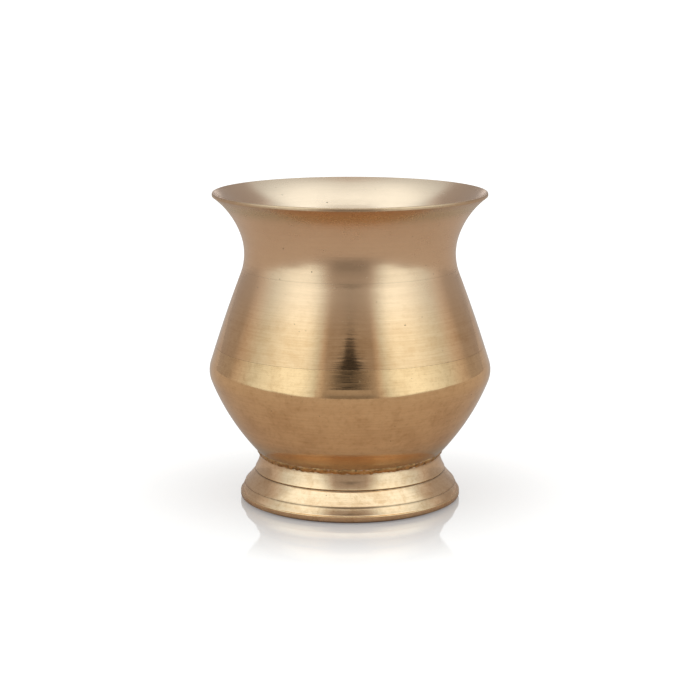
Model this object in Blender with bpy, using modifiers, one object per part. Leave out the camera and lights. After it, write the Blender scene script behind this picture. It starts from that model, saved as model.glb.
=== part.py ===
import math

import bpy

# Brass kalash pot: a round-bellied water pot with a flared mouth on a turned foot.
# Metres, +Z up. The pot's axis is the Z axis and its foot stands on Z = 0.
# Outlines are (radius, height) pairs in the plane through the axis.

MM = 0.001

# Heights, stacked from the table to the lip
FOOT_HEIGHT = 16.3 * MM         # table to the corner where foot and bowl meet
BOWL_RISE = 30.5 * MM           # that corner to the widest ring of the belly
SHOULDER_RISE = 41.6 * MM       # widest ring to the neck's narrowest ring
NECK_RISE = 21.6 * MM           # narrowest ring to the top of the lip
SEAM_RISE = 8.9 * MM            # widest ring to the seam between the two shells
FLOOR_DROP = 4.3 * MM           # corner of foot and bowl down to the underside of the floor

# Outer radii of the pot
FOOT_JOINT_RADIUS = 32.0 * MM
BELLY_RADIUS = 50.1 * MM
NECK_RADIUS = 37.4 * MM
MOUTH_RADIUS = 48.0 * MM        # inner edge of the lip

# Curves of the wall, as radii of its outer arcs
BOWL_CURVE = 81.0 * MM
BELLY_CURVE = 9.5 * MM
NECK_CURVE = 20.8 * MM
FLOOR_CURVE = 9.0 * MM
FLARE_START = math.radians(19.5)  # lean of the neck where the wider flare takes over

# Sheet, lip and seam
WALL = 1.2 * MM
LIP_LAND = 0.5 * MM             # width of the flat ring on top of the lip
LIP_ROUND = 0.15 * MM
CLEARANCE = 0.3 * MM            # between neighbouring pieces
COLLAR_RISE = 5.0 * MM          # how far the bowl's collar reaches up inside the upper shell
COLLAR_EASE = 3.0 * MM          # length over which the bowl's wall steps in to the collar
BELLY_BEAD = 1.4 * MM           # legs of the filler bead on the collar
BELLY_BEAD_WAIST = 0.8 * MM     # the middle of its face, measured along both legs

# Foot
FOOT_BASE_RADIUS = 37.8 * MM
FOOT_RADIUS = 39.6 * MM
FOOT_BAND_BOTTOM = 0.9 * MM     # the upright band round the foot's widest part
FOOT_BAND_TOP = 2.4 * MM
FOOT_CREASE_RADIUS = 38.0 * MM
FOOT_CREASE_HEIGHT = 5.65 * MM
FOOT_GROOVE_RADIUS = 34.5 * MM
FOOT_GROOVE_HEIGHT = 10.3 * MM
FOOT_GROOVE_WIDTH = 0.9 * MM
FOOT_GROOVE_DEPTH = 0.35 * MM
FOOT_COVE = 13.0 * MM           # radius of the hollow curve between groove and bowl
FOOT_BORE_RADIUS = 34.3 * MM
FOOT_BORE_DEPTH = 6.5 * MM
FOOT_TOP_WALL = 2.1 * MM
FOOT_ROUND = 0.25 * MM
BRAZE_GAP = 1.2 * MM            # between the bowl and the foot's top edge, filled by the bead
BRAZE_BULGE = 0.35 * MM

BRAZE_DEPTH = 2.5 * MM          # how far the bead runs in under the bowl

# Facets
SEGMENTS = 60                   # around the axis
FLARE_STEPS = 6
NECK_STEPS = 6
BELLY_STEPS = 4
BOWL_STEPS = 6
FLOOR_STEPS = 3
COVE_STEPS = 3
ROLL_STEPS = 4
ROUND_STEPS = 2
SHARP_ANGLE = math.radians(35)  # corners sharper than this are rounded
MERGE = 0.01 * MM

FLOOR_HEIGHT = FOOT_HEIGHT - FLOOR_DROP
BELLY_HEIGHT = FOOT_HEIGHT + BOWL_RISE
NECK_HEIGHT = BELLY_HEIGHT + SHOULDER_RISE
POT_HEIGHT = NECK_HEIGHT + NECK_RISE
RIM_RADIUS = MOUTH_RADIUS + LIP_LAND


# Plane geometry

def on_circle(center, radius, angle):
    return (center[0] + radius * math.cos(angle), center[1] + radius * math.sin(angle))


def arc(center, radius, start, end, steps):
    """Points on a circle from one angle to another, both ends included."""
    return [on_circle(center, radius, start + (end - start) * i / steps) for i in range(steps + 1)]


def direction(start, end):
    return math.atan2(end[1] - start[1], end[0] - start[0])


def circles_meet(center_a, radius_a, center_b, radius_b, side):
    """Where two circles cross, on the left (+1) or right (-1) of the line from a to b."""
    gap = math.dist(center_a, center_b)
    along = (gap ** 2 + radius_a ** 2 - radius_b ** 2) / (2 * gap)
    across = side * math.sqrt(radius_a ** 2 - along ** 2)
    way = ((center_b[0] - center_a[0]) / gap, (center_b[1] - center_a[1]) / gap)
    return (
        center_a[0] + along * way[0] - across * way[1],
        center_a[1] + along * way[1] + across * way[0],
    )


def arc_center(start, end, radius):
    """Center of the circle through two points, on the right of the way from start to end."""
    return circles_meet(start, radius, end, radius, -1)


# The wall: bowl arc, belly arc, straight shoulder, neck arc and flare arc, each tangent to
# the next. A point's inset is its depth below the outer surface, so all arcs stay concentric.

BELLY_CENTER = (BELLY_RADIUS - BELLY_CURVE, BELLY_HEIGHT)
NECK_CENTER = (NECK_RADIUS + NECK_CURVE, NECK_HEIGHT)
FOOT_JOINT = (FOOT_JOINT_RADIUS, FOOT_HEIGHT)

# The bowl's circle runs through the foot joint and touches the belly's circle from outside
BOWL_CENTER = circles_meet(FOOT_JOINT, BOWL_CURVE, BELLY_CENTER, BOWL_CURVE - BELLY_CURVE, 1)
BOWL_TOP_ANGLE = direction(BOWL_CENTER, BELLY_CENTER)

# The shoulder is the line that crosses between the belly's and the neck's circles
SHOULDER_ANGLE = direction(BELLY_CENTER, NECK_CENTER) + math.asin(
    (BELLY_CURVE + NECK_CURVE) / math.dist(BELLY_CENTER, NECK_CENTER)
)
WALL_ANGLE = SHOULDER_ANGLE - math.pi / 2   # direction that the shoulder faces

# The bowl's floor is flat, with a rounded turn up into the bowl
FLOOR_CENTER = (
    BOWL_CENTER[0] + math.sqrt(
        (BOWL_CURVE - FLOOR_CURVE) ** 2 - (BOWL_CENTER[1] - FLOOR_HEIGHT - FLOOR_CURVE) ** 2
    ),
    FLOOR_HEIGHT + FLOOR_CURVE,
)
FLOOR_ANGLE = direction(BOWL_CENTER, FLOOR_CENTER)


def shoulder_point(along, inset):
    """A point on the shoulder: along runs up the wall from the seam, inset runs into the wall."""
    start = on_circle(BELLY_CENTER, BELLY_CURVE, WALL_ANGLE)
    run = (BELLY_HEIGHT + SEAM_RISE - start[1]) / math.sin(SHOULDER_ANGLE) + along
    return (
        start[0] + run * math.cos(SHOULDER_ANGLE) - inset * math.cos(WALL_ANGLE),
        start[1] + run * math.sin(SHOULDER_ANGLE) - inset * math.sin(WALL_ANGLE),
    )


def flare_circle():
    """Center and radius of the inner flare: it leaves the neck's arc and ends at the mouth."""
    start = on_circle(NECK_CENTER, NECK_CURVE + WALL, math.pi - FLARE_START)
    to_mouth = (MOUTH_RADIUS - start[0], POT_HEIGHT - start[1])
    inward = to_mouth[0] * math.cos(FLARE_START) - to_mouth[1] * math.sin(FLARE_START)
    flare = (to_mouth[0] ** 2 + to_mouth[1] ** 2) / (2 * inward)
    return on_circle(start, flare, -FLARE_START), flare


def neck_outline(inset, end_radius):
    """From the lip down through flare and neck to the top of the shoulder."""
    center, inner_flare = flare_circle()
    flare = inner_flare - WALL + inset
    end_angle = math.pi - math.acos((center[0] - end_radius) / flare)
    start_angle = math.pi - FLARE_START
    neck = arc(NECK_CENTER, NECK_CURVE + inset, start_angle, WALL_ANGLE + math.pi, NECK_STEPS)
    return arc(center, flare, end_angle, start_angle, FLARE_STEPS)[:-1] + neck


def bowl_outline(inset):
    """From the bottom of the shoulder down round the belly and bowl to the floor's middle."""
    belly = arc(BELLY_CENTER, BELLY_CURVE - inset, WALL_ANGLE, BOWL_TOP_ANGLE, BELLY_STEPS)
    bowl = arc(BOWL_CENTER, BOWL_CURVE - inset, BOWL_TOP_ANGLE, FLOOR_ANGLE, BOWL_STEPS)
    turn = arc(FLOOR_CENTER, FLOOR_CURVE - inset, FLOOR_ANGLE, -math.pi / 2, FLOOR_STEPS)
    return belly[:-1] + bowl[:-1] + turn + [(0.0, FLOOR_HEIGHT + inset)]


# Outlines of the pieces, each down its outer side and up its inner side

def upper_shell_outline():
    outer = neck_outline(0.0, RIM_RADIUS)
    inner = neck_outline(WALL, MOUTH_RADIUS)
    seam = [shoulder_point(CLEARANCE / 2, 0.0), shoulder_point(CLEARANCE / 2, WALL)]
    return [(RIM_RADIUS, POT_HEIGHT)] + outer + seam + inner[::-1]


def lower_bowl_outline():
    step = WALL + CLEARANCE
    collar_outside = [
        shoulder_point(COLLAR_RISE, step),
        shoulder_point(-CLEARANCE / 2, step),
        shoulder_point(-CLEARANCE / 2, 0.0),
    ]
    collar_inside = [
        shoulder_point(-COLLAR_EASE, WALL),
        shoulder_point(-CLEARANCE / 2, step + WALL),
        shoulder_point(COLLAR_RISE, step + WALL),
    ]
    return collar_outside + bowl_outline(0.0) + bowl_outline(WALL)[::-1] + collar_inside


def belly_braze_outline():
    foot = COLLAR_RISE + CLEARANCE
    depth = WALL + CLEARANCE
    return [
        shoulder_point(foot + BELLY_BEAD, depth),
        shoulder_point(foot, depth),
        shoulder_point(foot, depth + BELLY_BEAD),
        shoulder_point(foot + BELLY_BEAD_WAIST, depth + BELLY_BEAD_WAIST),
    ]


def foot_ring_outline():
    groove_top = (FOOT_GROOVE_RADIUS, FOOT_GROOVE_HEIGHT + FOOT_GROOVE_WIDTH / 2)
    cove_center = arc_center(groove_top, FOOT_JOINT, FOOT_COVE)
    top_circle = BOWL_CURVE + BRAZE_GAP
    outer_top = circles_meet(cove_center, FOOT_COVE, BOWL_CENTER, top_circle, 1)
    inner_top_radius = outer_top[0] - FOOT_TOP_WALL
    inner_top = (
        inner_top_radius,
        BOWL_CENTER[1] - math.sqrt(top_circle ** 2 - (inner_top_radius - BOWL_CENTER[0]) ** 2),
    )
    cove = arc(
        cove_center,
        FOOT_COVE,
        direction(cove_center, outer_top) % (2 * math.pi),
        direction(cove_center, groove_top) % (2 * math.pi),
        COVE_STEPS,
    )
    groove = [
        (FOOT_GROOVE_RADIUS - FOOT_GROOVE_DEPTH, FOOT_GROOVE_HEIGHT),
        (FOOT_GROOVE_RADIUS, FOOT_GROOVE_HEIGHT - FOOT_GROOVE_WIDTH / 2),
    ]
    rise = FOOT_CREASE_HEIGHT - FOOT_BAND_TOP
    reach = FOOT_RADIUS - FOOT_CREASE_RADIUS
    roll = (rise ** 2 + reach ** 2) / (2 * reach)
    roll_center = (FOOT_RADIUS - roll, FOOT_BAND_TOP)
    rolled = arc(roll_center, roll, math.asin(rise / roll), 0.0, ROLL_STEPS)
    base = [
        (FOOT_RADIUS, FOOT_BAND_BOTTOM),
        (FOOT_BASE_RADIUS, 0.0),
        (FOOT_BORE_RADIUS, 0.0),
        (FOOT_BORE_RADIUS, FOOT_BORE_DEPTH),
    ]
    return cove + groove + rolled + base + [inner_top]


def foot_braze_outline():
    """A bead in the slot between bowl and foot, bulging out of it."""
    above = BOWL_CURVE + CLEARANCE
    below = BOWL_CURVE + BRAZE_GAP - CLEARANCE
    middle = (above + below) / 2
    outer_angle = direction(BOWL_CENTER, FOOT_JOINT)
    inner_angle = outer_angle - BRAZE_DEPTH / middle
    return [
        on_circle(BOWL_CENTER, above, outer_angle),
        on_circle(BOWL_CENTER, middle, outer_angle + BRAZE_BULGE / middle),
        on_circle(BOWL_CENTER, below, outer_angle),
        on_circle(BOWL_CENTER, below, inner_angle),
        on_circle(BOWL_CENTER, above, inner_angle),
    ]


# Scene objects

def clear_scene():
    for thing in list(bpy.data.objects):
        bpy.data.objects.remove(thing, do_unlink=True)


def brass(name, color, roughness):
    material = bpy.data.materials.new(name)
    material.use_nodes = True
    shader = material.node_tree.nodes["Principled BSDF"]
    shader.inputs["Base Color"].default_value = (*color, 1.0)
    shader.inputs["Metallic"].default_value = 1.0
    shader.inputs["Roughness"].default_value = roughness
    return material


def turned(name, outline, base, material, collection, parent):
    """A ring or shell: the closed outline swept once round the Z axis, its origin at base."""
    mesh = bpy.data.meshes.new(name)
    points = [(radius, 0.0, height - base) for radius, height in outline]
    edges = [(i, (i + 1) % len(points)) for i in range(len(points))]
    mesh.from_pydata(points, [edge for edge in edges if not on_axis(points, edge)], [])
    mesh.materials.append(material)
    piece = bpy.data.objects.new(name, mesh)
    piece.location = (0.0, 0.0, base)
    piece.parent = parent
    collection.objects.link(piece)
    screw = piece.modifiers.new("Turn", "SCREW")
    screw.axis = "Z"
    screw.steps = SEGMENTS
    screw.render_steps = SEGMENTS
    screw.use_merge_vertices = True
    screw.merge_threshold = MERGE
    screw.use_smooth_shade = True
    return piece


def on_axis(points, edge):
    return points[edge[0]][0] == 0.0 and points[edge[1]][0] == 0.0


def round_edges(piece, width):
    bevel = piece.modifiers.new("Round edges", "BEVEL")
    bevel.width = width
    bevel.segments = ROUND_STEPS
    bevel.limit_method = "ANGLE"
    bevel.angle_limit = SHARP_ANGLE
    bevel.harden_normals = True


def main():
    clear_scene()
    collection = bpy.data.collections.new("brass_kalash_pot")
    bpy.context.scene.collection.children.link(collection)
    pot = bpy.data.objects.new("kalash_pot", None)
    collection.objects.link(pot)

    polished = brass("polished_brass", (0.79, 0.56, 0.30), 0.25)
    brushed = brass("brushed_brass", (0.66, 0.45, 0.25), 0.38)
    turned_foot = brass("turned_foot_brass", (0.76, 0.53, 0.29), 0.28)
    filler = brass("braze_filler", (0.36, 0.22, 0.10), 0.6)

    seam_height = BELLY_HEIGHT + SEAM_RISE
    shell = turned("upper_shell", upper_shell_outline(), seam_height, polished, collection, pot)
    round_edges(shell, LIP_ROUND)
    turned("lower_bowl", lower_bowl_outline(), FOOT_HEIGHT, brushed, collection, pot)
    turned("belly_braze", belly_braze_outline(), seam_height, filler, collection, pot)
    ring = turned("foot_ring", foot_ring_outline(), 0.0, turned_foot, collection, pot)
    round_edges(ring, FOOT_ROUND)
    turned("foot_braze", foot_braze_outline(), FOOT_HEIGHT, filler, collection, pot)


main()
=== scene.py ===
import math

import bpy
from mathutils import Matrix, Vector


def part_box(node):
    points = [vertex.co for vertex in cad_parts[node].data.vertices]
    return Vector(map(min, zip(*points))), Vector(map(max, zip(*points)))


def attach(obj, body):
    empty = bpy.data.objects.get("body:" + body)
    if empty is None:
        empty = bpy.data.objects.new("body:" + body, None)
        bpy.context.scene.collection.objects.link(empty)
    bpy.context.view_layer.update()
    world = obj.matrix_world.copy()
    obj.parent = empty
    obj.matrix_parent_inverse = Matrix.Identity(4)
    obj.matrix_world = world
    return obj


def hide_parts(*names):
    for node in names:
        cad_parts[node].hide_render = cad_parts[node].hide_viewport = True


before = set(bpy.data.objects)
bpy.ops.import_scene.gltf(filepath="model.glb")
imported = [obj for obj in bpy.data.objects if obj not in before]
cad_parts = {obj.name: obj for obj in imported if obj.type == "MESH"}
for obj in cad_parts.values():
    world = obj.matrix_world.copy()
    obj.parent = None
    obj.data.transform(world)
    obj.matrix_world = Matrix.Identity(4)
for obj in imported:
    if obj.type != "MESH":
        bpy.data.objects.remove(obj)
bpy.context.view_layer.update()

mm = 0.001
shellLow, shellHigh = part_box("upper_shell")
bowlLow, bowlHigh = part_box("lower_bowl")
footLow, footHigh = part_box("foot_ring")

# The turned wall: bowl, belly, straight shoulder, neck and flare, each running into the next.
# Heights that the solids' boxes give are read from them; the rest are the drawing's sizes.
potWall = {
    "thickness": 1.2 * mm,
    "height": shellHigh.z,
    "rimRadius": shellHigh.x,
    "lipLand": 0.5 * mm,
    "bellyRadius": bowlHigh.x,
    "bellyHeight": 46.8 * mm,
    "neckRadius": 37.4 * mm,
    "neckHeight": 88.4 * mm,
    "jointRadius": 32.0 * mm,
    "jointHeight": 16.3 * mm,
    "floorHeight": bowlLow.z,
    "bowlCurve": 81.0 * mm,
    "bellyCurve": 9.5 * mm,
    "neckCurve": 20.8 * mm,
    "floorCurve": 9.0 * mm,
    "flareLean": math.radians(19.5),
    "seamRise": 8.9 * mm,
    "shoulderBow": 0.30 * mm,
}


# Drawing outlines, as (radius, height) pairs

def onCircle(center, radius, angle):
    return (center[0] + radius * math.cos(angle), center[1] + radius * math.sin(angle))


def arcPoints(center, radius, start, end, spacing):
    steps = max(2, math.ceil(abs(end - start) * radius / spacing))
    return [onCircle(center, radius, start + (end - start) * i / steps) for i in range(steps + 1)]


def heading(start, end):
    return math.atan2(end[1] - start[1], end[0] - start[0])


def circlesMeet(centerA, radiusA, centerB, radiusB, side):
    gap = math.dist(centerA, centerB)
    along = (gap ** 2 + radiusA ** 2 - radiusB ** 2) / (2 * gap)
    across = side * math.sqrt(radiusA ** 2 - along ** 2)
    way = ((centerB[0] - centerA[0]) / gap, (centerB[1] - centerA[1]) / gap)
    return (
        centerA[0] + along * way[0] - across * way[1],
        centerA[1] + along * way[1] + across * way[0],
    )


def roundCorner(before, corner, after, radius, steps=5):
    # an arc tangent to both sides of a corner, with a close point on each side to hold the shading
    toBefore = (Vector(before) - Vector(corner)).normalized()
    toAfter = (Vector(after) - Vector(corner)).normalized()
    half = toBefore.angle(toAfter) / 2
    cut = radius / math.tan(half)
    center = Vector(corner) + (toBefore + toAfter).normalized() * (radius / math.sin(half))
    first = Vector(corner) + toBefore * cut - center
    last = Vector(corner) + toAfter * cut - center
    sweep = first.angle(last)
    points = [Vector(corner) + toBefore * (cut + 0.2 * radius)]
    for i in range(steps + 1):
        t = i / steps
        mixed = (first * math.sin((1 - t) * sweep) + last * math.sin(t * sweep)) / math.sin(sweep)
        points.append(center + mixed)
    points.append(Vector(corner) + toAfter * (cut + 0.2 * radius))
    return [tuple(p) for p in points]


def closeSteps(points, step, marks=()):
    # splits long runs, and splits them again around grooves and seams
    for span, fine in [(step, False), (0.06 * mm, True)]:
        split = [points[0]]
        for a, b in zip(points, points[1:]):
            length = math.dist(a, b)
            middle = ((a[0] + b[0]) / 2, (a[1] + b[1]) / 2)
            wanted = not fine or any(
                math.dist(middle, mark["at"]) < 3 * mark["width"] + length / 2 for mark in marks
            )
            count = max(1, math.ceil(length / span)) if wanted else 1
            for i in range(1, count + 1):
                split.append((a[0] + (b[0] - a[0]) * i / count, a[1] + (b[1] - a[1]) * i / count))
        points = split
    return points


def markOutline(points, marks):
    # cuts each groove into the outline and says how dirty or worn every point is, and how much painted shade it
    # carries
    marked = []
    for i, point in enumerate(points):
        before = points[max(i - 1, 0)]
        after = points[min(i + 1, len(points) - 1)]
        run = Vector((after[0] - before[0], after[1] - before[1]))
        inward = Vector((run.y, -run.x)).normalized() if run.length > 0 else Vector((0, 0))
        cut = 0.0
        grimeAndShade = 0.0
        worn = 0.0
        for mark in marks:
            near = math.exp(-(math.dist(point, mark["at"]) / mark["width"]) ** 2)
            spread = math.exp(-(math.dist(point, mark["at"]) / mark.get("spread", mark["width"])) ** 2)
            cut += mark.get("depth", 0.0) * near
            grimeAndShade = max(grimeAndShade, mark.get("grimeAndShade", 0.0) * spread)
            worn = max(worn, mark.get("worn", 0.0) * spread)
        place = Vector(point) + inward * cut
        # surfaces that look towards the axis are the inside
        inner = min(max(inward.x / 0.15, 0.0), 1.0)
        marked.append({"at": (max(place.x, 0.0), place.y), "grimeAndShade": grimeAndShade, "worn": worn, "inner": inner})
    return marked


# The wall's circles and the shoulder line between belly and neck

def wallPlan(shape):
    bellyCenter = (shape["bellyRadius"] - shape["bellyCurve"], shape["bellyHeight"])
    neckCenter = (shape["neckRadius"] + shape["neckCurve"], shape["neckHeight"])
    joint = (shape["jointRadius"], shape["jointHeight"])
    bowlCenter = circlesMeet(
        joint, shape["bowlCurve"], bellyCenter, shape["bowlCurve"] - shape["bellyCurve"], 1
    )
    shoulder = heading(bellyCenter, neckCenter) + math.asin(
        (shape["bellyCurve"] + shape["neckCurve"]) / math.dist(bellyCenter, neckCenter)
    )
    floorLift = shape["floorHeight"] + shape["floorCurve"]
    floorReach = math.sqrt(
        (shape["bowlCurve"] - shape["floorCurve"]) ** 2 - (bowlCenter[1] - floorLift) ** 2
    )
    floorCenter = (bowlCenter[0] + floorReach, floorLift)
    neckStart = onCircle(neckCenter, shape["neckCurve"] + shape["thickness"], math.pi - shape["flareLean"])
    mouth = (shape["rimRadius"] - shape["lipLand"], shape["height"])
    reach = (mouth[0] - neckStart[0], mouth[1] - neckStart[1])
    lean = shape["flareLean"]
    flare = (reach[0] ** 2 + reach[1] ** 2) / (2 * (reach[0] * math.cos(lean) - reach[1] * math.sin(lean)))
    return {
        "bellyCenter": bellyCenter,
        "neckCenter": neckCenter,
        "bowlCenter": bowlCenter,
        "joint": joint,
        "bowlTop": heading(bowlCenter, bellyCenter),
        "shoulder": shoulder,
        "facing": shoulder - math.pi / 2,
        "floorCenter": floorCenter,
        "floorTurn": heading(bowlCenter, floorCenter),
        "flareCenter": onCircle(neckStart, flare, -lean),
        "innerFlare": flare,
    }


plan = wallPlan(potWall)


def shoulderPoint(along, inset):
    # along runs up the wall from the seam, inset into the wall
    start = onCircle(plan["bellyCenter"], potWall["bellyCurve"], plan["facing"])
    rise = potWall["bellyHeight"] + potWall["seamRise"] - start[1]
    run = rise / math.sin(plan["shoulder"]) + along
    return (
        start[0] + run * math.cos(plan["shoulder"]) - inset * math.cos(plan["facing"]),
        start[1] + run * math.sin(plan["shoulder"]) - inset * math.sin(plan["facing"]),
    )


def bowShoulder(points):
    # the shoulder is pushed out a little between belly and neck, as hand spinning leaves it
    low = onCircle(plan["bellyCenter"], potWall["bellyCurve"], plan["facing"])[1]
    high = onCircle(plan["neckCenter"], potWall["neckCurve"], plan["facing"] + math.pi)[1]
    bowed = []
    for r, z in points:
        part = min(max((z - low) / (high - low), 0.0), 1.0)
        bowed.append((r + potWall["shoulderBow"] * math.sin(math.pi * part), z))
    return bowed


def neckPoints(inset, endRadius, spacing):
    flare = plan["innerFlare"] - potWall["thickness"] + inset
    end = math.pi - math.acos((plan["flareCenter"][0] - endRadius) / flare)
    start = math.pi - potWall["flareLean"]
    upper = arcPoints(plan["flareCenter"], flare, end, start, spacing)
    lower = arcPoints(plan["neckCenter"], potWall["neckCurve"] + inset, start, plan["facing"] + math.pi, spacing)
    return upper[:-1] + lower


def bowlPoints(inset, spacing):
    belly = arcPoints(
        plan["bellyCenter"], potWall["bellyCurve"] - inset, plan["facing"], plan["bowlTop"], spacing / 2
    )
    bowl = arcPoints(
        plan["bowlCenter"], potWall["bowlCurve"] - inset, plan["bowlTop"], plan["floorTurn"], spacing
    )
    turn = arcPoints(
        plan["floorCenter"], potWall["floorCurve"] - inset, plan["floorTurn"], -math.pi / 2, spacing
    )
    return belly[:-1] + bowl[:-1] + turn + [(0.0, potWall["floorHeight"] + inset)]


# Small node helpers

def addNode(tree, kind, **settings):
    made = tree.nodes.new(kind)
    for key, value in settings.items():
        setattr(made, key, value)
    return made


def feed(tree, socket, value):
    if isinstance(value, bpy.types.NodeSocket):
        tree.links.new(value, socket)
    else:
        socket.default_value = value


def calc(tree, operation, *values, clamp=False):
    made = addNode(tree, "ShaderNodeMath", operation=operation, use_clamp=clamp)
    for socket, value in zip(made.inputs, values):
        feed(tree, socket, value)
    return made.outputs[0]


def addSquares(tree, a, b):
    return calc(tree, "ADD", calc(tree, "MULTIPLY", a, a), calc(tree, "MULTIPLY", b, b))


def join(tree, x, y, z):
    made = addNode(tree, "ShaderNodeCombineXYZ")
    for socket, value in zip(made.inputs, (x, y, z)):
        feed(tree, socket, value)
    return made.outputs[0]


def parts(tree, vector):
    made = addNode(tree, "ShaderNodeSeparateXYZ")
    feed(tree, made.inputs[0], vector)
    return made.outputs


def noise(tree, vector, scale, detail=2.0, roughness=0.5, distortion=0.0):
    made = addNode(tree, "ShaderNodeTexNoise")
    feed(tree, made.inputs["Vector"], vector)
    made.inputs["Scale"].default_value = scale
    made.inputs["Detail"].default_value = detail
    made.inputs["Roughness"].default_value = roughness
    made.inputs["Distortion"].default_value = distortion
    return made.outputs[0]


def between(tree, value, low, high, toLow=0.0, toHigh=1.0, soft=True):
    made = addNode(tree, "ShaderNodeMapRange")
    made.interpolation_type = "SMOOTHSTEP" if soft else "LINEAR"
    feed(tree, made.inputs["Value"], value)
    made.inputs["From Min"].default_value = low
    made.inputs["From Max"].default_value = high
    made.inputs["To Min"].default_value = toLow
    made.inputs["To Max"].default_value = toHigh
    return made.outputs["Result"]


def blendColors(tree, factor, first, second, way="MIX"):
    made = addNode(tree, "ShaderNodeMix", data_type="RGBA", blend_type=way)
    feed(tree, made.inputs[0], factor)
    for socket, value in ((made.inputs[6], first), (made.inputs[7], second)):
        feed(tree, socket, (*value, 1.0) if isinstance(value, tuple) else value)
    return made.outputs[2]


# One Geometry Nodes tree turns every piece: it sweeps the outline's points round the axis,
# lays the map out along and around, then adds the lathe's ripple and a slight hand unevenness.

def lathe():
    tree = bpy.data.node_groups.new("turnedOnLathe", "GeometryNodeTree")
    face = tree.interface
    face.new_socket(name="Geometry", in_out="INPUT", socket_type="NodeSocketGeometry")
    for name, kind in [
        ("Facets", "NodeSocketInt"),
        ("Ripple", "NodeSocketFloat"),
        ("Ripple pitch", "NodeSocketFloat"),
        ("Unevenness", "NodeSocketFloat"),
        ("Lump size", "NodeSocketFloat"),
        ("Seed", "NodeSocketFloat"),
        ("Material", "NodeSocketMaterial"),
    ]:
        face.new_socket(name=name, in_out="INPUT", socket_type=kind)
    face.new_socket(name="Geometry", in_out="OUTPUT", socket_type="NodeSocketGeometry")
    entry = addNode(tree, "NodeGroupInput")
    given = entry.outputs

    size = addNode(tree, "GeometryNodeAttributeDomainSize", component="MESH")
    feed(tree, size.inputs["Geometry"], given["Geometry"])
    rows = size.outputs["Point Count"]
    grid = addNode(tree, "GeometryNodeMeshGrid")
    grid.inputs["Size X"].default_value = 1.0
    grid.inputs["Size Y"].default_value = 1.0
    feed(tree, grid.inputs["Vertices X"], calc(tree, "ADD", given["Facets"], 1.0))
    feed(tree, grid.inputs["Vertices Y"], rows)

    place = parts(tree, addNode(tree, "GeometryNodeInputPosition").outputs[0])
    around = calc(tree, "ADD", place[0], 0.5)
    row = calc(tree, "ROUND", calc(tree, "MULTIPLY", calc(tree, "ADD", place[1], 0.5), calc(tree, "SUBTRACT", rows, 1.0)))

    def fromOutline(kind, value):
        made = addNode(tree, "GeometryNodeSampleIndex", data_type=kind, domain="POINT")
        feed(tree, made.inputs["Geometry"], given["Geometry"])
        feed(tree, made.inputs["Value"], value)
        feed(tree, made.inputs["Index"], row)
        return made.outputs[0]

    def outlineValue(name):
        made = addNode(tree, "GeometryNodeInputNamedAttribute", data_type="FLOAT")
        made.inputs["Name"].default_value = name
        return made.outputs["Attribute"]

    def keep(geometry, name, kind, domain, value):
        made = addNode(tree, "GeometryNodeStoreNamedAttribute", data_type=kind, domain=domain)
        feed(tree, made.inputs["Geometry"], geometry)
        made.inputs["Name"].default_value = name
        feed(tree, made.inputs["Value"], value)
        return made.outputs["Geometry"]

    path = fromOutline("FLOAT", outlineValue("path"))
    shape = keep(grid.outputs["Mesh"], "UVMap", "FLOAT2", "CORNER", join(tree, around, path, 0.0))
    shape = keep(shape, "along", "FLOAT", "POINT", path)
    for name in ("grimeAndShade", "worn", "inner"):
        shape = keep(shape, name, "FLOAT", "POINT", fromOutline("FLOAT", outlineValue(name)))

    point = parts(tree, fromOutline("FLOAT_VECTOR", addNode(tree, "GeometryNodeInputPosition").outputs[0]))
    turn = calc(tree, "MULTIPLY", around, 2 * math.pi)
    swept = join(
        tree,
        calc(tree, "MULTIPLY", point[0], calc(tree, "COSINE", turn)),
        calc(tree, "MULTIPLY", point[0], calc(tree, "SINE", turn)),
        point[2],
    )
    sweep = addNode(tree, "GeometryNodeSetPosition")
    feed(tree, sweep.inputs["Geometry"], shape)
    feed(tree, sweep.inputs["Position"], swept)
    merge = addNode(tree, "GeometryNodeMergeByDistance")
    feed(tree, merge.inputs["Geometry"], sweep.outputs[0])
    merge.inputs["Distance"].default_value = 0.001 * mm

    # ripple follows the outline's length, unevenness follows the place on the surface
    length = addNode(tree, "GeometryNodeInputNamedAttribute", data_type="FLOAT")
    length.inputs["Name"].default_value = "along"
    rings = addNode(tree, "ShaderNodeTexNoise", noise_dimensions="2D")
    ringPlace = join(
        tree, calc(tree, "DIVIDE", length.outputs["Attribute"], given["Ripple pitch"]), given["Seed"], 0.0
    )
    feed(tree, rings.inputs["Vector"], ringPlace)
    rings.inputs["Scale"].default_value = 1.0
    rings.inputs["Detail"].default_value = 1.0
    lumps = addNode(tree, "ShaderNodeTexNoise", noise_dimensions="4D")
    scaled = addNode(tree, "ShaderNodeVectorMath", operation="DIVIDE")
    feed(tree, scaled.inputs[0], addNode(tree, "GeometryNodeInputPosition").outputs[0])
    feed(tree, scaled.inputs[1], join(tree, given["Lump size"], given["Lump size"], given["Lump size"]))
    feed(tree, lumps.inputs["Vector"], scaled.outputs[0])
    feed(tree, lumps.inputs["W"], given["Seed"])
    lumps.inputs["Scale"].default_value = 1.0
    lumps.inputs["Detail"].default_value = 2.0
    ringLift = calc(tree, "MULTIPLY", calc(tree, "SUBTRACT", rings.outputs[0], 0.5), given["Ripple"])
    lumpLift = calc(tree, "MULTIPLY", calc(tree, "SUBTRACT", lumps.outputs[0], 0.5), given["Unevenness"])
    offset = addNode(tree, "ShaderNodeVectorMath", operation="SCALE")
    feed(tree, offset.inputs[0], addNode(tree, "GeometryNodeInputNormal").outputs[0])
    feed(tree, offset.inputs["Scale"], calc(tree, "ADD", ringLift, lumpLift))
    uneven = addNode(tree, "GeometryNodeSetPosition")
    feed(tree, uneven.inputs["Geometry"], merge.outputs[0])
    feed(tree, uneven.inputs["Offset"], offset.outputs[0])

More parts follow.
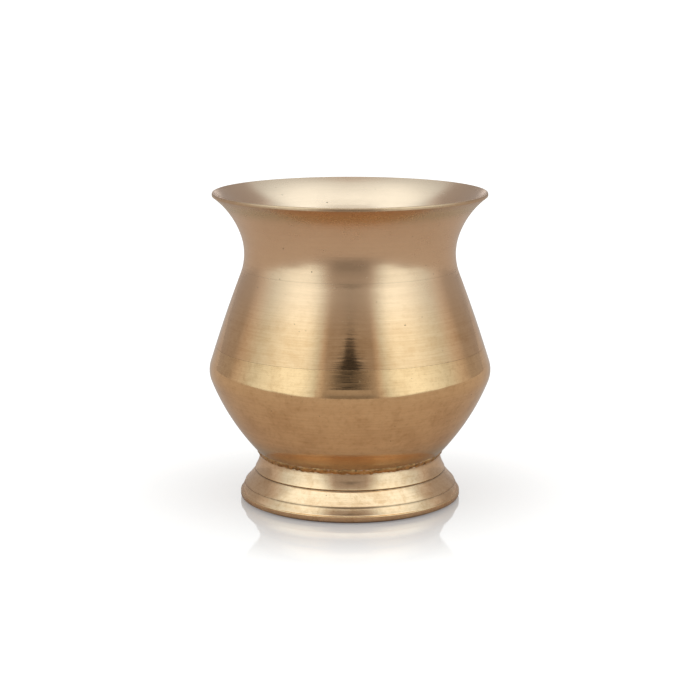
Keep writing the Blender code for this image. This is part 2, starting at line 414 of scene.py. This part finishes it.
    smooth = addNode(tree, "GeometryNodeSetShadeSmooth")
    feed(tree, smooth.inputs["Geometry"], uneven.outputs[0])
    real = addNode(tree, "GeometryNodeRealizeInstances")
    feed(tree, real.inputs[0], smooth.outputs[0])
    finish = addNode(tree, "GeometryNodeSetMaterial")
    feed(tree, finish.inputs["Geometry"], real.outputs[0])
    feed(tree, finish.inputs["Material"], given["Material"])
    leave = addNode(tree, "NodeGroupOutput")
    feed(tree, leave.inputs[0], finish.outputs[0])
    return tree


latheTree = lathe()


def turnPiece(name, outline, turning, material):
    # a line mesh of the outline goes through the lathe tree and comes out as a plain mesh
    points = [point["at"] for point in outline]
    path = [0.0]
    for a, b in zip(points, points[1:]):
        path.append(path[-1] + math.dist(a, b))
    line = bpy.data.meshes.new(name + "Outline")
    edges = [(i, i + 1) for i in range(len(points) - 1)]
    line.from_pydata([(r, 0.0, z) for r, z in points], edges, [])
    values = {
        "path": [length / path[-1] for length in path],
        "grimeAndShade": [point["grimeAndShade"] for point in outline],
        "worn": [point["worn"] for point in outline],
        "inner": [point["inner"] for point in outline],
    }
    for key, numbers in values.items():
        line.attributes.new(key, "FLOAT", "POINT").data.foreach_set("value", numbers)
    drawn = bpy.data.objects.new(name + "Outline", line)
    bpy.context.scene.collection.objects.link(drawn)
    modifier = drawn.modifiers.new("Lathe", "NODES")
    modifier.node_group = latheTree
    wanted = {
        "Facets": turning["facets"],
        "Ripple": turning["ripple"],
        "Ripple pitch": turning["ripplePitch"] / path[-1],
        "Unevenness": turning["unevenness"],
        "Lump size": turning["lumpSize"],
        "Seed": turning["seed"],
        "Material": material,
    }
    for socket in latheTree.interface.items_tree:
        if socket.in_out == "INPUT" and socket.name in wanted:
            modifier[socket.identifier] = wanted[socket.name]
    graph = bpy.context.evaluated_depsgraph_get()
    mesh = bpy.data.meshes.new_from_object(drawn.evaluated_get(graph), depsgraph=graph)
    mesh.name = name
    piece = bpy.data.objects.new(name, mesh)
    bpy.context.scene.collection.objects.link(piece)
    bpy.data.objects.remove(drawn)
    bpy.data.meshes.remove(line)
    print(name, "turned:", len(mesh.polygons), "faces")
    return piece, path[-1]


# Brass, with rings left by the lathe, tarnish in soft patches, dirt in grooves, painted shade on the foot's band, a
# painted highlight on the upper part, and small pits

def brass(name, look, pathLength):
    material = bpy.data.materials.new(name)
    material.use_nodes = True
    tree = material.node_tree
    shader = tree.nodes["Principled BSDF"]
    place = addNode(tree, "ShaderNodeTexCoord").outputs["Object"]
    spot = parts(tree, place)
    radius = calc(tree, "SQRT", addSquares(tree, spot[0], spot[1]))
    safe = calc(tree, "MAXIMUM", radius, 0.1 * mm)
    aroundX = calc(tree, "DIVIDE", spot[0], safe)
    aroundY = calc(tree, "DIVIDE", spot[1], safe)
    uv = addNode(tree, "ShaderNodeUVMap", uv_map="UVMap")
    along = calc(tree, "MULTIPLY", parts(tree, uv.outputs[0])[1], pathLength)

    def ringNoise(pitch, sweep, detail):
        vector = join(
            tree,
            calc(tree, "MULTIPLY", aroundX, sweep),
            calc(tree, "MULTIPLY", aroundY, sweep),
            calc(tree, "DIVIDE", along, pitch),
        )
        return noise(tree, vector, 1.0, detail)

    coarse = ringNoise(look["ringPitch"], 0.6, 2.0)
    fine = ringNoise(look["finePitch"], 6.0, 3.0)
    clouds = noise(tree, place, 1 / look["cloudSize"], 4.0, 0.6, 0.3)
    speckle = noise(tree, place, 1 / look["speckleSize"], 3.0, 0.6)
    pits = between(tree, noise(tree, place, 1 / look["pitSize"], 1.0), look["pitAbove"], look["pitAbove"] + 0.03)
    grimeAndShade = addNode(tree, "ShaderNodeAttribute", attribute_name="grimeAndShade").outputs["Fac"]
    worn = addNode(tree, "ShaderNodeAttribute", attribute_name="worn").outputs["Fac"]

    patches = between(tree, clouds, 0.42, 0.68)
    streaks = between(tree, calc(tree, "ADD", calc(tree, "MULTIPLY", coarse, 0.5), calc(tree, "MULTIPLY", fine, 0.5)), 0.38, 0.64)
    tarnish = calc(
        tree,
        "ADD",
        calc(tree, "MULTIPLY", patches, look["patchTarnish"]),
        calc(tree, "ADD", calc(tree, "MULTIPLY", streaks, look["streakTarnish"]), calc(tree, "MULTIPLY", between(tree, speckle, 0.45, 0.7), look["speckleTarnish"])),
        clamp=True,
    )
    color = blendColors(tree, tarnish, look["clean"], look["tarnished"])
    # painted highlight: the upper part is paler towards the top, in place of the whiter highlight there; the inside
    # is paler, and the upper part is duller
    high = between(tree, spot[2], look["highlightFrom"], look["highlightTo"])
    color = blendColors(tree, calc(tree, "MULTIPLY", high, 0.7), color, look["paintedHighlight"])
    inner = addNode(tree, "ShaderNodeAttribute", attribute_name="inner").outputs["Fac"]
    color = blendColors(tree, calc(tree, "MULTIPLY", inner, 0.75), color, look["inside"])
    outside = calc(tree, "SUBTRACT", 1.0, inner)
    rubbed = calc(tree, "MULTIPLY", outside, calc(tree, "MULTIPLY", worn, 0.8))
    color = blendColors(tree, rubbed, color, look["rubbed"])
    # dark mix along the marked outline: dirt in grooves and seams, and painted shade on the foot's upright band
    dirtAndShade = calc(tree, "MULTIPLY", grimeAndShade, between(tree, speckle, 0.3, 0.55, 0.75, 1.0), clamp=True)
    dirtAndShade = calc(tree, "MULTIPLY", dirtAndShade, calc(tree, "MAXIMUM", outside, look["insideDirt"]))
    color = blendColors(tree, dirtAndShade, color, look["dirtAndShade"])
    color = blendColors(tree, calc(tree, "MULTIPLY", pits, look["pitDark"]), color, look["dirtAndShade"])
    tree.links.new(color, shader.inputs["Base Color"])

    rough = calc(tree, "ADD", look["roughness"], calc(tree, "MULTIPLY", calc(tree, "SUBTRACT", fine, 0.5), look["fineRough"]))
    rough = calc(tree, "ADD", rough, calc(tree, "MULTIPLY", tarnish, look["tarnishRough"]))
    rough = calc(tree, "ADD", rough, calc(tree, "MULTIPLY", high, look["highRough"]))
    rough = calc(tree, "ADD", rough, calc(tree, "MULTIPLY", dirtAndShade, 0.25), clamp=True)
    tree.links.new(rough, shader.inputs["Roughness"])
    shader.inputs["Metallic"].default_value = 1.0
    shader.inputs["Anisotropic"].default_value = look["brushing"]
    shader.inputs["Anisotropic Rotation"].default_value = 0.25
    tangent = addNode(tree, "ShaderNodeTangent", direction_type="UV_MAP", uv_map="UVMap")
    tree.links.new(tangent.outputs[0], shader.inputs["Tangent"])

    normal = None
    for height, depth in [
        (coarse, look["ringDepth"]),
        (fine, look["fineDepth"]),
        (speckle, look["speckleDepth"]),
        (pits, -look["pitDepth"]),
    ]:
        bump = addNode(tree, "ShaderNodeBump")
        bump.inputs["Strength"].default_value = 1.0
        bump.inputs["Distance"].default_value = abs(depth)
        bump.invert = depth < 0
        tree.links.new(height, bump.inputs["Height"])
        if normal is not None:
            tree.links.new(normal, bump.inputs["Normal"])
        normal = bump.outputs[0]
    tree.links.new(normal, shader.inputs["Normal"])
    return material


brassLook = {
    "clean": (0.90, 0.545, 0.285),
    "tarnished": (0.70, 0.375, 0.165),
    "rubbed": (0.93, 0.62, 0.33),
    # dark colour for dirt, and for painted shade where a mark stands in for it
    "dirtAndShade": (0.10, 0.06, 0.03),
    "inside": (0.82, 0.58, 0.415),
    "insideDirt": 0.15,
    # painted highlight colour for the top of the shoulder
    "paintedHighlight": (0.88, 0.575, 0.36),
    "highlightFrom": 62 * mm,
    "highlightTo": 82 * mm,
    "highRough": 0.15,
    "roughness": 0.07,
    "fineRough": 0.05,
    "tarnishRough": 0.07,
    "brushing": 0.25,
    "ringPitch": 0.9 * mm,
    "finePitch": 0.36 * mm,
    "cloudSize": 16 * mm,
    "speckleSize": 1.1 * mm,
    "pitSize": 1.2 * mm,
    "pitAbove": 0.78,
    "patchTarnish": 0.22,
    "streakTarnish": 0.25,
    "speckleTarnish": 0.10,
    "pitDark": 0.6,
    "ringDepth": 0.014 * mm,
    "fineDepth": 0.004 * mm,
    "speckleDepth": 0.0015 * mm,
    "pitDepth": 0.03 * mm,
}


def pieceLength(points):
    return sum(math.dist(a, b) for a, b in zip(points, points[1:]))


# Upper shell: lip, flare, neck and shoulder

upperShell = {
    "turning": {
        "facets": 192,
        "ripple": 0.01 * mm,
        "ripplePitch": 5.0 * mm,
        "unevenness": 0.03 * mm,
        "lumpSize": 30 * mm,
        "seed": 1.0,
    },
    "look": {
        "rubbed": (0.74, 0.505, 0.27),
        "speckleTarnish": 0.2,
        "speckleSize": 1.6 * mm,
        "patchTarnish": 0.34,
        "cloudSize": 12 * mm,
        "streakTarnish": 0.34,
        "finePitch": 0.42 * mm,
        "fineRough": 0.06,
    },
    "lipRound": 0.45 * mm,
    "seamRound": 0.025 * mm,
    "seamGap": 0.03 * mm,
    "step": 0.6 * mm,
}


def makeUpperShell():
    thickness = potWall["thickness"]
    mouth = (potWall["rimRadius"] - potWall["lipLand"], potWall["height"])
    rim = (potWall["rimRadius"], potWall["height"])
    outer = neckPoints(0.0, potWall["rimRadius"], upperShell["step"])
    inner = neckPoints(thickness, mouth[0], upperShell["step"])
    seamOut = shoulderPoint(upperShell["seamGap"] / 2, 0.0)
    seamIn = shoulderPoint(upperShell["seamGap"] / 2, thickness)
    lip = roundCorner(inner[1], mouth, rim, 0.15 * mm) + roundCorner(mouth, rim, outer[0], upperShell["lipRound"])
    lip += roundCorner(rim, outer[0], outer[1], 0.3 * mm)
    seam = roundCorner(outer[-1], seamOut, seamIn, upperShell["seamRound"])
    scribe = (38.05 * mm, 83.2 * mm)
    marks = [
        {"at": scribe, "width": 0.14 * mm, "depth": 0.006 * mm, "grimeAndShade": 0.14, "spread": 0.16 * mm},
        {"at": seamOut, "width": 0.1 * mm, "grimeAndShade": 0.35, "spread": 0.1 * mm},
        {"at": outer[0], "width": 0.1 * mm, "grimeAndShade": 0.26, "spread": 3.0 * mm},
        {"at": outer[7], "width": 0.1 * mm, "worn": 1.0, "grimeAndShade": 0.1, "spread": 3.0 * mm},
    ]
    points = lip + outer[2:] + seam + [seamIn] + inner[::-1][:-1]
    points = bowShoulder(closeSteps(points + [lip[0]], upperShell["step"]))
    outline = markOutline(closeSteps(points, upperShell["step"], marks), marks)
    look = {**brassLook, **upperShell["look"]}
    material = brass("polishedBrass", look, pieceLength(points))
    piece, _ = turnPiece("upperShell", outline, upperShell["turning"], material)
    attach(piece, "root")
    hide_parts("upper_shell")


makeUpperShell()


# Lower bowl: floor, bowl, belly and the collar inside the shoulder

lowerBowl = {
    "turning": {
        "facets": 192,
        "ripple": 0.01 * mm,
        "ripplePitch": 6.0 * mm,
        "unevenness": 0.02 * mm,
        "lumpSize": 28 * mm,
        "seed": 2.0,
    },
    "look": {
        "roughness": 0.09,
        "clean": (0.95, 0.575, 0.285),
        "tarnished": (0.70, 0.39, 0.175),
        "rubbed": (0.70, 0.58, 0.38),
        "cloudSize": 9 * mm,
        "speckleSize": 1.6 * mm,
        "patchTarnish": 0.40,
        "speckleTarnish": 0.32,
    },
    "seamGap": 0.03 * mm,
    "collarGap": 0.3 * mm,
    "collarRise": 5.0 * mm,
    "collarEase": 3.0 * mm,
    "step": 0.7 * mm,
}


def makeLowerBowl():
    thickness = potWall["thickness"]
    gap = lowerBowl["seamGap"]
    inset = thickness + lowerBowl["collarGap"]
    inner = bowlPoints(thickness, lowerBowl["step"])
    outer = bowlPoints(0.0, lowerBowl["step"])
    seamOut = shoulderPoint(-gap / 2, 0.0)
    seamIn = shoulderPoint(-gap / 2, inset)
    collar = [
        shoulderPoint(-lowerBowl["collarEase"], thickness),
        shoulderPoint(-gap / 2, inset + thickness),
        shoulderPoint(lowerBowl["collarRise"], inset + thickness),
        shoulderPoint(lowerBowl["collarRise"], inset),
        seamIn,
    ]
    seam = roundCorner(seamIn, seamOut, outer[0], 0.025 * mm)
    joint = (33.2 * mm, 17.6 * mm)
    marks = [
        {"at": seamOut, "width": 0.1 * mm, "grimeAndShade": 0.35, "spread": 0.1 * mm},
        {"at": seamIn, "width": 0.3 * mm, "grimeAndShade": 1.0, "spread": 0.8 * mm},
        {"at": joint, "width": 0.6 * mm, "worn": 1.2, "grimeAndShade": 0.2, "spread": 6.0 * mm},
    ]
    points = bowShoulder(closeSteps(inner[::-1] + collar + seam + outer[1:], lowerBowl["step"]))
    outline = markOutline(closeSteps(points, lowerBowl["step"]), marks)
    look = {**brassLook, **lowerBowl["look"]}
    material = brass("brushedBrass", look, pieceLength(points))
    piece, _ = turnPiece("lowerBowl", outline, lowerBowl["turning"], material)
    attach(piece, "root")
    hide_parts("lower_bowl")


makeLowerBowl()


# Foot: hollow curve, groove, flare, creased roll, upright band and flat base

foot = {
    "turning": {
        "facets": 192,
        "ripple": 0.02 * mm,
        "ripplePitch": 3.0 * mm,
        "unevenness": 0.05 * mm,
        "lumpSize": 20 * mm,
        "seed": 3.0,
    },
    "look": {
        "clean": (0.92, 0.60, 0.355),
        "tarnished": (0.70, 0.40, 0.20),
        "cloudSize": 6 * mm,
        "speckleSize": 1.5 * mm,
        "patchTarnish": 0.42,
        "speckleTarnish": 0.3,
        "roughness": 0.17,
        "pitAbove": 0.84,
    },
    "radius": footHigh.x - 0.2 * mm,
    "top": footHigh.z,
    "grooveRadius": 34.1 * mm,
    "grooveHeight": 10.3 * mm,
    "creaseRadius": 37.8 * mm,
    "creaseHeight": 5.65 * mm,
    "bandTop": 2.4 * mm,
    "rollTurn": math.radians(8),
    "bandBottom": 0.9 * mm,
    "baseRadius": 37.4 * mm,
    "boreRadius": 34.3 * mm,
    "boreDepth": 6.5 * mm,
    "topWall": 2.1 * mm,
    "cove": 13.0 * mm,
    "coveLean": math.radians(31),
    "flareTurn": math.radians(3.5),
    "topGap": 0.08 * mm,
    "step": 0.3 * mm,
}


def hollowRun(start, end, turn, spacing):
    # a slightly hollow line between two points, leaning by turn at each end
    chord = math.dist(start, end)
    radius = chord / (2 * math.sin(abs(turn)))
    across = heading(start, end) + math.pi / 2
    middle = ((start[0] + end[0]) / 2, (start[1] + end[1]) / 2)
    center = onCircle(middle, radius * math.cos(turn), across)
    return arcPoints(center, radius, across + math.pi - abs(turn), across + math.pi + abs(turn), spacing)


def makeFoot():
    grooveTop = (foot["grooveRadius"], foot["grooveHeight"] + 0.45 * mm)
    coveCenter = onCircle(grooveTop, foot["cove"], foot["coveLean"])
    topCircle = potWall["bowlCurve"] + foot["topGap"]
    outerTop = circlesMeet(coveCenter, foot["cove"], plan["bowlCenter"], topCircle, 1)
    innerRadius = outerTop[0] - foot["topWall"]
    innerTop = (
        innerRadius,
        plan["bowlCenter"][1] - math.sqrt(topCircle ** 2 - (innerRadius - plan["bowlCenter"][0]) ** 2),
    )
    fullTurn = 2 * math.pi
    cove = arcPoints(
        coveCenter,
        foot["cove"],
        heading(coveCenter, outerTop) % fullTurn,
        heading(coveCenter, grooveTop) % fullTurn,
        foot["step"],
    )
    grooveLow = (foot["grooveRadius"] + 0.1 * mm, foot["grooveHeight"] - 0.35 * mm)
    groove = roundCorner(cove[-2], grooveTop, (foot["grooveRadius"] - 0.3 * mm, foot["grooveHeight"]), 0.12 * mm)
    groove += [(foot["grooveRadius"] - 0.3 * mm, foot["grooveHeight"]), grooveLow]
    crease = (foot["creaseRadius"], foot["creaseHeight"])
    ledgeTop = (crease[0] - 0.05 * mm, crease[1] + 0.15 * mm)
    flare = hollowRun(grooveLow, ledgeTop, foot["flareTurn"], foot["step"])
    ledge = flare[1:-1] + roundCorner(flare[-2], ledgeTop, crease, 0.08 * mm)
    rollStart = (crease[0] + 0.05 * mm, crease[1] - 0.4 * mm)
    rollEnd = (foot["radius"] - 0.45 * mm, foot["bandTop"] + 0.5 * mm)
    chord = math.dist(rollStart, rollEnd)
    facing = heading(rollEnd, rollStart) - math.pi / 2
    roll = chord / (2 * math.sin(foot["rollTurn"]))
    middle = ((rollStart[0] + rollEnd[0]) / 2, (rollStart[1] + rollEnd[1]) / 2)
    rollCenter = onCircle(middle, -roll * math.cos(foot["rollTurn"]), facing)
    rolled = arcPoints(rollCenter, roll, facing + foot["rollTurn"], facing - foot["rollTurn"], foot["step"])
    bandTop = (foot["radius"], foot["bandTop"] + 0.2 * mm)
    bandBottom = (foot["radius"], foot["bandBottom"])
    base = (foot["baseRadius"], 0.0)
    bore = (foot["boreRadius"], 0.0)
    bead = roundCorner(rolled[-1], bandTop, bandBottom, 0.22 * mm)
    lower = roundCorner(bandTop, bandBottom, base, 0.5 * mm) + roundCorner(bandBottom, base, bore, 0.2 * mm)
    lower += roundCorner(base, bore, (bore[0], foot["boreDepth"]), 0.2 * mm)
    inside = [(foot["boreRadius"], foot["boreDepth"]), innerTop]
    points = cove[:-1] + groove + ledge + [rollStart] + rolled[1:] + bead + lower + inside + [cove[0]]
    marks = [
        {"at": cove[0], "width": 0.5 * mm, "grimeAndShade": 0.7, "spread": 0.7 * mm},
        {"at": (foot["grooveRadius"] - 0.3 * mm, foot["grooveHeight"]), "width": 0.2 * mm, "grimeAndShade": 0.9, "spread": 0.3 * mm},
        {"at": (crease[0], crease[1] - 0.15 * mm), "width": 0.2 * mm, "grimeAndShade": 0.6, "spread": 0.25 * mm},
        {"at": bandTop, "width": 0.2 * mm, "worn": 0.8, "spread": 0.3 * mm},
        # painted shade: the upright band is darkened here in place of its reflection of the pot's shadow on the
        # floor and of the camera stand
        {"at": bandBottom, "width": 0.2 * mm, "grimeAndShade": 0.5, "spread": 1.1 * mm},
        {"at": grooveTop, "width": 0.2 * mm, "worn": 0.7, "spread": 0.3 * mm},
    ]
    outline = markOutline(closeSteps(points, foot["step"]), marks)
    look = {**brassLook, **foot["look"]}
    material = brass("turnedFootBrass", look, pieceLength(points))
    piece, _ = turnPiece("footRing", outline, foot["turning"], material)
    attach(piece, "root")
    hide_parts("foot_ring")
    return outerTop


footTop = makeFoot()


# Filler beads: the rough one between bowl and foot, and the hidden one on the collar

fillerLook = {
    **brassLook,
    "clean": (0.78, 0.46, 0.19),
    "tarnished": (0.28, 0.15, 0.06),
    "dirtAndShade": (0.06, 0.035, 0.02),
    "roughness": 0.38,
    "brushing": 0.0,
    "cloudSize": 4 * mm,
    "patchTarnish": 0.5,
    "speckleTarnish": 0.5,
    "speckleDepth": 0.05 * mm,
    "pitAbove": 0.66,
}

beads = {
    "turning": {
        "facets": 720,
        "ripple": 0.0,
        "ripplePitch": 1.0 * mm,
        "unevenness": 1.3 * mm,
        "lumpSize": 1.8 * mm,
        "seed": 4.0,
    },
    "gap": 0.3 * mm,
    "bulge": 0.32 * mm,
    "width": 1.9 * mm,
    "hang": 0.7 * mm,
    "leg": 1.4 * mm,
}


def makeFootBead():
    center = plan["bowlCenter"]
    bowl = potWall["bowlCurve"]
    low = heading(center, footTop) - 0.2 * mm / bowl
    high = low + beads["width"] / bowl
    corners = [
        onCircle(center, bowl - 0.05 * mm, high),
        onCircle(center, bowl + 0.6 * beads["bulge"], high - 0.25 * beads["width"] / bowl),
        onCircle(center, bowl + beads["bulge"], (low + high) / 2),
        (footTop[0] + 0.8 * beads["bulge"], footTop[1] - 0.2 * mm),
        (footTop[0] + 0.02 * mm, footTop[1] - beads["hang"]),
        onCircle(center, bowl - 0.05 * mm, low),
    ]
    points = closeSteps(corners + [corners[0]], 0.2 * mm)
    outline = markOutline(points, [])
    material = brass("brazeFiller", fillerLook, pieceLength(points))
    piece, _ = turnPiece("footBead", outline, beads["turning"], material)
    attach(piece, "root")
    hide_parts("foot_braze")
    return material


def makeBellyBead(material):
    low = lowerBowl["collarRise"] + 0.1 * mm
    depth = potWall["thickness"] + 0.1 * mm
    leg = beads["leg"]
    corners = [
        shoulderPoint(low + leg, depth),
        shoulderPoint(low, depth),
        shoulderPoint(low, depth + leg),
        shoulderPoint(low + 0.55 * leg, depth + 0.55 * leg),
    ]
    points = closeSteps(corners + [corners[0]], 0.25 * mm)
    outline = markOutline(points, [])
    turning = {**beads["turning"], "facets": 480, "unevenness": 0.3 * mm}
    piece, _ = turnPiece("bellyBead", outline, turning, material)
    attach(piece, "root")
    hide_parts("belly_braze")


makeBellyBead(makeFootBead())


# Studio: a pale floor, soft light from both sides and above, a plain pale surround

studio = {
    "surround": 0.36,
    "front": 0.37,
    "sideLight": 1.56,
    "topLight": 1.52,
    "lampTint": (0.80, 1.0, 1.12),
    "cameraShade": 0.92,
    "tableFront": 205 * mm,
    "tableColor": (0.58, 0.465, 0.405),
    "tableSpots": (0.60, 0.485, 0.425),
    "tableGlow": 0.21,
    "tableGloss": 0.45,
    "backdrop": 1.25,
    "cameraDistance": 675 * mm,
    "cameraHeight": 187.7 * mm,
    "cameraPitch": 11.27,
    "lens": 99.15,
}


def makeWorld():
    world = bpy.data.worlds.new("studio")
    bpy.context.scene.world = world
    world.use_nodes = True
    tree = world.node_tree
    way = parts(tree, addNode(tree, "ShaderNodeTexCoord").outputs["Generated"])
    flat = calc(tree, "SQRT", addSquares(tree, way[0], way[1]))
    toFront = calc(tree, "DIVIDE", calc(tree, "MULTIPLY", way[1], -1.0), calc(tree, "MAXIMUM", flat, 0.0001))
    side = calc(tree, "DEGREES", calc(tree, "ARCCOSINE", toFront))
    lift = calc(tree, "DEGREES", calc(tree, "ARCSINE", way[2]))

    # a tall soft light each side, brightest near its front edge
    inner = between(tree, side, 8.0, 45.0)
    fading = between(tree, side, 60.0, 120.0, 1.0, 0.24, soft=False)
    sideHeight = between(tree, lift, 60.0, 80.0, 1.0, 0.0)
    footLine = between(tree, side, 40.0, 62.0, -12.5, -4.0, soft=False)
    sideFoot = between(tree, calc(tree, "SUBTRACT", lift, footLine), -9.0, 4.0)
    sideLight = calc(tree, "MULTIPLY", calc(tree, "MULTIPLY", inner, fading), sideHeight)
    sideLight = calc(tree, "MULTIPLY", sideLight, sideFoot)
    sideLight = calc(tree, "MULTIPLY", sideLight, between(tree, lift, 20.0, 31.0, 0.84, 1.0))

    # a wide soft light overhead, its lower edge just above the camera
    sideways = between(tree, side, 20.0, 70.0)
    edgeLift = calc(tree, "SUBTRACT", lift, calc(tree, "MULTIPLY", sideways, -5.0))
    topEdge = between(tree, edgeLift, 43.0, 49.0)
    topFade = between(tree, lift, 60.0, 90.0, 1.0, 0.7)
    topSide = between(tree, side, 75.0, 150.0, 1.0, 0.5)
    topLight = calc(tree, "MULTIPLY", calc(tree, "MULTIPLY", topEdge, topFade), topSide)

    frontGate = between(tree, side, 15.0, 45.0, studio["front"], studio["surround"])
    lowGate = between(tree, side, 20.0, 60.0, 0.30, 0.55)
    below = between(tree, lift, -14.0, -10.0, 1.0, 0.0)
    frontGate = calc(tree, "MAXIMUM", frontGate, calc(tree, "MULTIPLY", below, lowGate))
    brightest = calc(
        tree,
        "MAXIMUM",
        calc(tree, "MULTIPLY", sideLight, studio["sideLight"]),
        calc(tree, "MULTIPLY", topLight, studio["topLight"]),
    )
    total = calc(tree, "MAXIMUM", frontGate, brightest)

    # the dark round shape of the camera and its stand
    lowWidth = between(tree, lift, 22.2, 25.0, 12.0, 0.0, soft=False)
    width = calc(tree, "ADD", lowWidth, between(tree, lift, 25.0, 27.6, 7.5, 2.0, soft=False))
    camera = between(tree, calc(tree, "DIVIDE", side, width), 0.8, 1.1, 1.0, 0.0)
    cameraHeight = calc(tree, "MULTIPLY", between(tree, lift, 20.5, 23.0), between(tree, lift, 27.0, 27.9, 1.0, 0.0))
    camera = calc(tree, "MULTIPLY", camera, cameraHeight)
    standSide = between(tree, side, 14.0, 26.0, 1.0, 0.0)
    standHeight = calc(tree, "MULTIPLY", between(tree, lift, -27.0, -22.0), between(tree, lift, -8.0, 8.0, 1.0, 0.0))
    stand = calc(tree, "MULTIPLY", calc(tree, "MULTIPLY", standSide, standHeight), 0.35)
    shade = calc(tree, "MAXIMUM", calc(tree, "MULTIPLY", camera, studio["cameraShade"]), stand)
    total = calc(tree, "MULTIPLY", total, calc(tree, "SUBTRACT", 1.0, shade))

    # the pale paper right behind the pot
    paperHeight = calc(tree, "MULTIPLY", between(tree, lift, 6.0, 8.0), between(tree, lift, 17.0, 22.0, 1.0, 0.0))
    paper = calc(tree, "MULTIPLY", between(tree, side, 168.0, 171.0), paperHeight)
    lampTint = between(tree, total, 0.45, 0.9)
    total = calc(tree, "MAXIMUM", total, calc(tree, "MULTIPLY", paper, studio["backdrop"]))

    seen = addNode(tree, "ShaderNodeLightPath").outputs["Is Camera Ray"]
    strength = addNode(tree, "ShaderNodeMix", data_type="FLOAT")
    feed(tree, strength.inputs[0], seen)
    feed(tree, strength.inputs[2], total)
    strength.inputs[3].default_value = studio["backdrop"]
    background = tree.nodes["Background"]
    tint = blendColors(tree, lampTint, (1.0, 1.0, 1.0), studio["lampTint"])
    feed(tree, background.inputs["Color"], blendColors(tree, seen, tint, (1.0, 1.0, 1.0)))
    feed(tree, background.inputs["Strength"], strength.outputs[0])


def makeFloor():
    near = -studio["tableFront"]
    low = -0.05 * mm  # just under the foot
    corners = [(-4.0, near, low), (4.0, near, low), (4.0, 4.0, low), (-4.0, 4.0, low)]
    mesh = bpy.data.meshes.new("floor")
    mesh.from_pydata(corners, [], [(0, 1, 2, 3)])
    floor = bpy.data.objects.new("floor", mesh)
    bpy.context.scene.collection.objects.link(floor)
    material = bpy.data.materials.new("paleFloor")
    material.use_nodes = True
    tree = material.node_tree
    tree.nodes.remove(tree.nodes["Principled BSDF"])
    place = addNode(tree, "ShaderNodeTexCoord").outputs["Object"]
    spot = parts(tree, place)
    soft = noise(tree, place, 6.0, 2.0)
    matt = addNode(tree, "ShaderNodeBsdfDiffuse")
    feed(tree, matt.inputs["Color"], blendColors(tree, soft, studio["tableColor"], studio["tableSpots"]))
    gloss = addNode(tree, "ShaderNodeBsdfGlossy")
    feed(tree, gloss.inputs["Roughness"], between(tree, soft, 0.3, 0.7, 0.04, 0.06))
    # the shine is kept to the patch round the foot
    reach = calc(tree, "SQRT", addSquares(tree, spot[0], spot[1]))
    shine = between(tree, reach, 36 * mm, 95 * mm, studio["tableGloss"], 0.0, soft=False)
    seen = addNode(tree, "ShaderNodeLightPath").outputs["Is Camera Ray"]
    mixed = addNode(tree, "ShaderNodeMixShader")
    feed(tree, mixed.inputs[0], calc(tree, "MULTIPLY", shine, seen))
    feed(tree, mixed.inputs[1], matt.outputs[0])
    feed(tree, mixed.inputs[2], gloss.outputs[0])
    glow = addNode(tree, "ShaderNodeEmission")
    # painted shadow: the camera-only glow is weaker near the foot, so the floor reads darker round the pot
    wanted = between(tree, reach, 36 * mm, 95 * mm, studio["tableGlow"], studio["tableGlow"] + 0.5, soft=False)
    glow.inputs["Color"].default_value = (0.95, 0.985, 1.0, 1.0)
    feed(tree, glow.inputs["Strength"], calc(tree, "MULTIPLY", seen, wanted))
    both = addNode(tree, "ShaderNodeAddShader")
    feed(tree, both.inputs[0], mixed.outputs[0])
    feed(tree, both.inputs[1], glow.outputs[0])
    feed(tree, tree.nodes["Material Output"].inputs["Surface"], both.outputs[0])
    mesh.materials.append(material)


def makeCamera():
    data = bpy.data.cameras.new("camera")
    data.lens = studio["lens"]
    data.sensor_width = 36.0
    camera = bpy.data.objects.new("camera", data)
    camera.location = (0.0, -studio["cameraDistance"], studio["cameraHeight"])
    camera.rotation_euler = (math.radians(90.0 - studio["cameraPitch"]), 0.0, 0.0)
    bpy.context.scene.collection.objects.link(camera)
    bpy.context.scene.camera = camera


makeWorld()
makeFloor()
makeCamera()
bpy.context.scene.view_settings.view_transform = "Standard"
print("studio ready")
